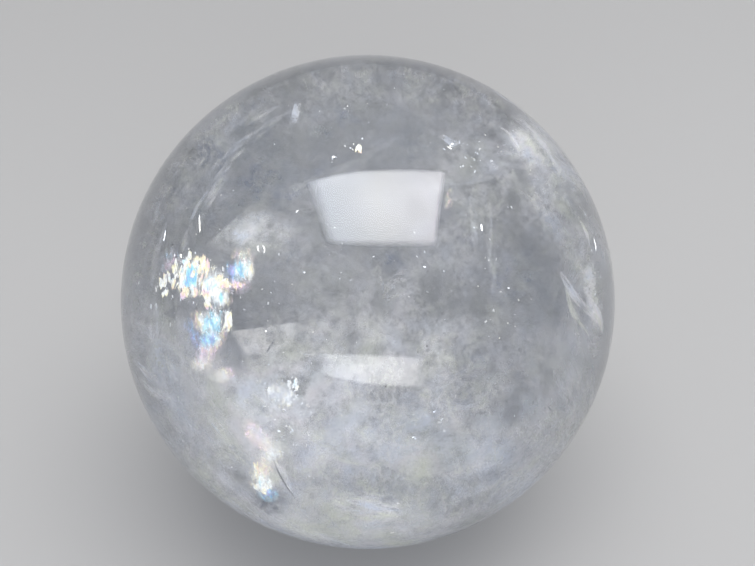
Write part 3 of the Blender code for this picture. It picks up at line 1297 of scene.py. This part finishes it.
class STONE_OT_rainbows(bpy.types.Operator):
    """Builds the thin cracks that split light into colours"""

    bl_idname = "stone.rainbows"
    bl_label = "Rainbow cracks"

    def execute(self, context):
        rng = np.random.default_rng(RAINBOW_SEED)
        crisp = rainbow_material("rainbow_cracks", crisp=True)
        sheets_piece("rainbow_cracks", crisp, *mirror_discs(CRACKS, SLIVER_COUNT, side=12, rng=rng))
        soft = rainbow_material("rainbow_glows", crisp=False)
        sheets_piece("rainbow_glows", soft, *mirror_discs(SOFT_CRACKS, 1, side=12, rng=rng))
        return {"FINISHED"}


class STONE_OT_glints(bpy.types.Operator):
    """Builds the flakes that glint, the bubbles and the pits in the polish"""

    bl_idname = "stone.glints"
    bl_label = "Glints, bubbles and pits"

    def execute(self, context):
        rng = np.random.default_rng(GLINT_SEED)
        glint = glint_material()
        points, faces = flake_plates(*scattered(SWARMS, rng), rng)
        new_piece("glint_flakes", points, faces, glint, smooth=False)
        sheets_piece("glint_needles", glint, *mirror_needles(NEEDLES, rows=12, columns=4))

        rings = seen_at(RINGS_PX, rng.uniform(*RING_SHARES, len(RINGS_PX)))
        ways = unit(rng.normal(size=(LOOSE_BUBBLES, 3)))
        loose = CENTRE + ways * rng.uniform(*LOOSE_REACHES, (LOOSE_BUBBLES, 1)) * BALL_RADIUS
        places = np.concatenate((rings, loose))
        radii = rng.uniform(*SPECK_RADII, len(places))
        radii[0] = RING_RADIUS
        new_piece("gas_bubbles", *small_balls(places, radii, meridians=12, parallels=7), bubble_material())

        places = seen_at(PITS_PX, np.full(len(PITS_PX), PIT_SHARE))
        radii = rng.uniform(*SPECK_RADII, len(places))
        new_piece("polish_pits", *small_balls(places, radii, meridians=8, parallels=5), pit_material())
        return {"FINISHED"}


# The studio

FLOOR_RADIUS = 3.0
FLOOR_CORNERS = 96
FLOOR_DROP = 0.0002
SKY_HEIGHT = 0.9
FRONT_SHINE_SHARE = 0.68
SHINE_SIDE = 20


class Mirrored(NamedTuple):
    """A lamp as the polish shows it: the outline in the picture, the bows of its top and bottom sides,
    its soft sides, and where it is hottest, across and down from its first corner.
    """

    corners: tuple
    bows_px: tuple
    fades: tuple
    hot: tuple
    hot_size: float
    hot_gain: float


OVERHEAD_SHINE = Mirrored(
    corners=((305, 183), (448, 170), (437, 247), (326, 244)),
    bows_px=(-8.0, 2.0),
    fades=(0.03, 0.05, 0.10, 0.10),
    hot=(0.54, 0.44),
    hot_size=0.30,
    hot_gain=0.5,
)
FRONT_SHINE = Mirrored(
    corners=((317, 353), (428, 356), (427, 389), (318, 373)),
    bows_px=(-1.0, 5.0),
    fades=(0.12, 0.16, 0.12, 0.1),
    hot=(0.46, 0.5),
    hot_size=0.25,
    hot_gain=0.25,
)


def standing(place, turn):
    """The matrix of an object at this place, with these axes."""
    return Matrix.LocRotScale(Vector(place), Matrix(turn.tolist()).to_quaternion(), None)


def soft_box(name, corners, power):
    """A rectangular area light that faces the ball, as wide and tall as its four corners say. It only
    lights what is matt: the polish mirrors the shine card in front of it.
    """
    places = np.array(corners) * LAMP_HEIGHT
    middle = places.mean(0)
    wide = (places[1] - places[0] + places[2] - places[3]) / 2
    tall = (places[3] - places[0] + places[2] - places[1]) / 2
    light = bpy.data.lights.new(name, "AREA")
    light.shape = "RECTANGLE"
    light.size = np.linalg.norm(wide)
    light.size_y = np.linalg.norm(tall)
    light.energy = power
    lamp = add_object(name, light)
    away = unit(middle - CENTRE)
    up = unit(np.cross(away, wide))
    lamp.matrix_world = standing(middle, np.stack((np.cross(up, away), up, away), -1))
    lamp.visible_camera = False
    lamp.visible_glossy = False
    lamp.visible_transmission = False


def shine_card(name, shine, strength):
    """A glowing card that only the polish and the cracks mirror, just where the picture shows the lamp."""
    u, v, weights = four_cornered(SHINE_SIDE)
    pixels = np.einsum("kij,kp->ijp", weights, np.array(shine.corners, float))
    top, bottom = shine.bows_px
    pixels[..., 1] += np.sin(math.pi * u**0.75) * (top * (1 - v) + bottom * v)
    hot = np.exp(-0.5 * ((u - shine.hot[0]) ** 2 + (v - shine.hot[1]) ** 2) / shine.hot_size**2)
    glow = soft_sides(u, v, shine.fades) * (1 + shine.hot_gain * hot)

    nodes = material_nodes(name)
    tints = ((0.1, (0.86, 0.91, 1.0)), (0.5, (1, 1, 1)), (1.0, (0.84, 0.81, 0.86)))
    light = {
        "Color": nodes.ramp(nodes.attribute("across"), tints),
        "Strength": nodes.maths("MULTIPLY", nodes.attribute("glow"), strength),
    }
    material = nodes.material(nodes.add("Emission", light))
    material.cycles.emission_sampling = "NONE"

    faces = grid_faces(SHINE_SIDE, SHINE_SIDE).tolist()
    points = mirrored_at(pixels, LAMP_HEIGHT)
    card = mesh_object(name, points, faces, material, {"glow": glow, "across": u})
    card.visible_camera = False
    card.visible_diffuse = False
    card.visible_shadow = False
    card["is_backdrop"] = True


class STONE_OT_studio(bpy.types.Operator):
    """Builds the floor, the soft lights and the camera"""

    bl_idname = "stone.studio"
    bl_label = "Studio"

    def execute(self, context):
        scene = context.scene
        settings = scene.studio
        self.floor(settings)
        self.room(scene, settings)
        self.camera(scene)
        soft_box("overhead_box", KEY_CORNERS, settings.key_power)
        soft_box("front_strip", FRONT_CORNERS, settings.front_power)
        shine_card("overhead_shine", OVERHEAD_SHINE, settings.shine)
        shine_card("front_shine", FRONT_SHINE, FRONT_SHINE_SHARE * settings.shine)
        scene.view_settings.view_transform = "Standard"
        scene.cycles.use_light_tree = False
        scene.cycles.caustics_refractive = False
        scene.cycles.caustics_reflective = False
        scene.cycles.max_bounces = 5
        scene.cycles.diffuse_bounces = 1
        scene.cycles.transparent_max_bounces = 24
        return {"FINISHED"}

    def floor(self, settings):
        """A wide disc just under the flat spot."""
        turns = np.arange(FLOOR_CORNERS) * 2 * math.pi / FLOOR_CORNERS
        rim = flat(FLOOR_RADIUS * np.cos(turns), FLOOR_RADIUS * np.sin(turns)) - (0, 0, FLOOR_DROP)
        nodes = material_nodes("pale_floor")
        pale = {"Base Color": (*settings.floor_colour, 1), "Roughness": 0.8}
        material = nodes.material(nodes.add("BsdfPrincipled", pale))
        mesh_object("floor", rim, [list(range(FLOOR_CORNERS))], material)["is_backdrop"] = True

    def room(self, scene, settings):
        """A pale room that is as bright as the far floor at the horizon, and brighter overhead."""
        scene.world = bpy.data.worlds.new("pale_room")
        nodes = Nodes(scene.world)
        height = nodes.add("SeparateXYZ", {0: nodes.add("TexCoord", output="Generated")}, output="Z")
        strength = nodes.between(height, (0.0, SKY_HEIGHT), (settings.horizon, settings.sky))
        background = nodes.tree.nodes["Background"]
        background.inputs["Color"].default_value = (1, 1, 1, 1)
        nodes.tree.links.new(strength, background.inputs["Strength"])

    def camera(self, scene):
        """The camera at the picture's viewing angle."""
        camera = add_object("camera", bpy.data.cameras.new("camera"))
        camera.data.lens = LENS
        camera.data.sensor_width = SENSOR
        camera.data.clip_start = NEAREST_SEEN
        camera.matrix_world = standing(CAMERA_PLACE, CAMERA_TURN)
        scene.camera = camera


class STONE_PT_panel(bpy.types.Panel):
    """Lists the stone's pieces and settings"""

    bl_label = "Polished calcite sphere"
    bl_idname = "STONE_PT_panel"
    bl_space_type = "VIEW_3D"
    bl_region_type = "UI"
    bl_category = "Stone"

    def draw(self, context):
        layout = self.layout
        for operator in OPERATORS:
            layout.operator(operator.bl_idname)
        for settings in (context.scene.stone, context.scene.studio):
            for name in settings.__annotations__:
                layout.prop(settings, name)


OPERATORS = (
    STONE_OT_studio,
    STONE_OT_polish,
    STONE_OT_veils,
    STONE_OT_wisps,
    STONE_OT_planes,
    STONE_OT_rainbows,
    STONE_OT_glints,
)
CLASSES = (StoneSettings, StudioSettings, *OPERATORS, STONE_PT_panel)


def register():
    for one in CLASSES:
        bpy.utils.register_class(one)
    bpy.types.Scene.stone = PointerProperty(type=StoneSettings)
    bpy.types.Scene.studio = PointerProperty(type=StudioSettings)


def unregister():
    del bpy.types.Scene.studio
    del bpy.types.Scene.stone
    for one in reversed(CLASSES):
        bpy.utils.unregister_class(one)


def main():
    register()
    bpy.ops.stone.studio()
    bpy.ops.stone.polish()
    bpy.ops.stone.veils()
    bpy.ops.stone.wisps()
    bpy.ops.stone.planes()
    bpy.ops.stone.rainbows()
    bpy.ops.stone.glints()


if __name__ == "__main__":
    main()
